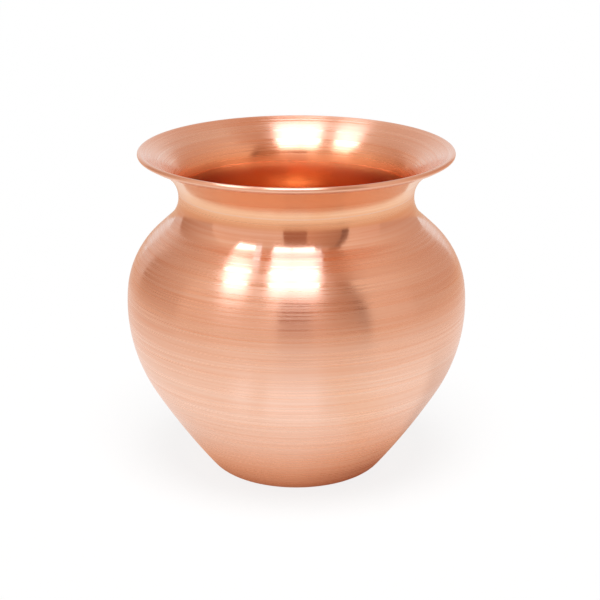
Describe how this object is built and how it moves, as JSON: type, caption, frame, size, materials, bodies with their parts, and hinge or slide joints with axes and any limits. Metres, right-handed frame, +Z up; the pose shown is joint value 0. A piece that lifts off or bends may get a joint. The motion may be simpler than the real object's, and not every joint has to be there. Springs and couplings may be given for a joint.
{
  "type": "lota",
  "caption": "Round-bellied copper water pot with a pinched throat, a wide flared mouth whose edge is turned under to a round lip, and a flat standing ring round a slightly hollow base.",
  "frame": {"origin": "centre of the base, on the surface that the pot stands on", "axes": "+Z up along the axis of the pot; the pot is the same all round, so +X and +Y are free"},
  "size_m": [0.12, 0.12, 0.1165],
  "materials": {
    "copper_body": "satin copper with fine turned lines round the axis",
    "copper_collar": "satin copper with fine turned lines round the axis, a little brighter inside the flare",
    "braze_metal": "brazing metal dressed flush with the sheet, slightly paler than the copper"
  },
  "bodies": {
    "root": {"body_shell": "copper_body", "neck_collar": "copper_collar", "neck_braze": "braze_metal"}
  },
  "joints": []
}
